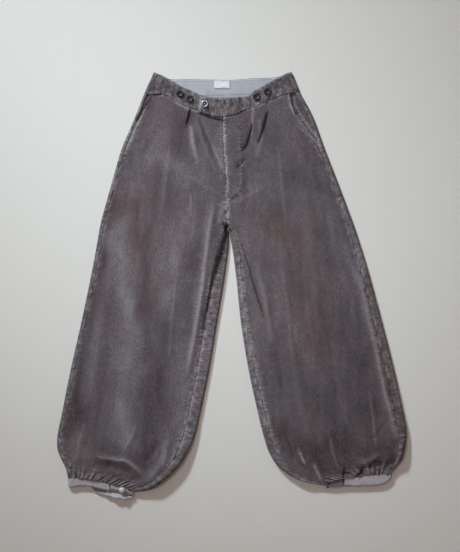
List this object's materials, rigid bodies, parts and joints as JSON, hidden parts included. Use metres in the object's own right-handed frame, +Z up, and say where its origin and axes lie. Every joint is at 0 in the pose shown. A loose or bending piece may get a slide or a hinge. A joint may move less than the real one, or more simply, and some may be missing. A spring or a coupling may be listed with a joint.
{
  "type": "knickerbockers",
  "caption": "Corduroy knickerbockers laid flat on their back, with pleated fronts, side pockets, button fly, brace buttons and full legs gathered into narrow cotton knee cuffs.",
  "frame": {"origin": "on the surface it lies on, under the middle of its bounding box", "axes": "+X towards the wearer's left side, +Y from the hems to the waist, +Z up from the surface"},
  "size_m": [0.8368, 1.0284, 0.0193],
  "materials": {
    "corduroy": "worn fine-wale corduroy, grey-mauve with brown patches and pale rubbed seams",
    "band_corduroy": "worn corduroy, stitched and rubbed pale along its edges",
    "striped_cotton": "faded blue-grey cotton with faint fine stripes",
    "label_cotton": "plain white woven tape",
    "cuff_cotton": "pale grey plain-woven cotton with frayed edges",
    "black_button": "glossy black, four sewing holes",
    "ring_metal": "dull silver ring with a dark middle",
    "pale_button": "pale cloth-covered knob"
  },
  "bodies": {
    "root": {"front_right": "corduroy", "front_left": "corduroy", "back_right": "corduroy", "back_left": "corduroy", "pocket_facing_right": "corduroy", "pocket_facing_left": "corduroy", "fly_underlap": "corduroy", "waistband_right": "band_corduroy", "waistband_left": "band_corduroy", "waistband_back": "band_corduroy", "waistband_facing": "striped_cotton", "label": "label_cotton", "cuff_right": "cuff_cotton", "cuff_left": "cuff_cotton", "brace_button_1": "black_button", "brace_button_2": "black_button", "brace_button_3": "black_button", "brace_button_4": "black_button", "tab_button": "ring_metal", "cuff_button": "pale_button"}
  },
  "joints": []
}
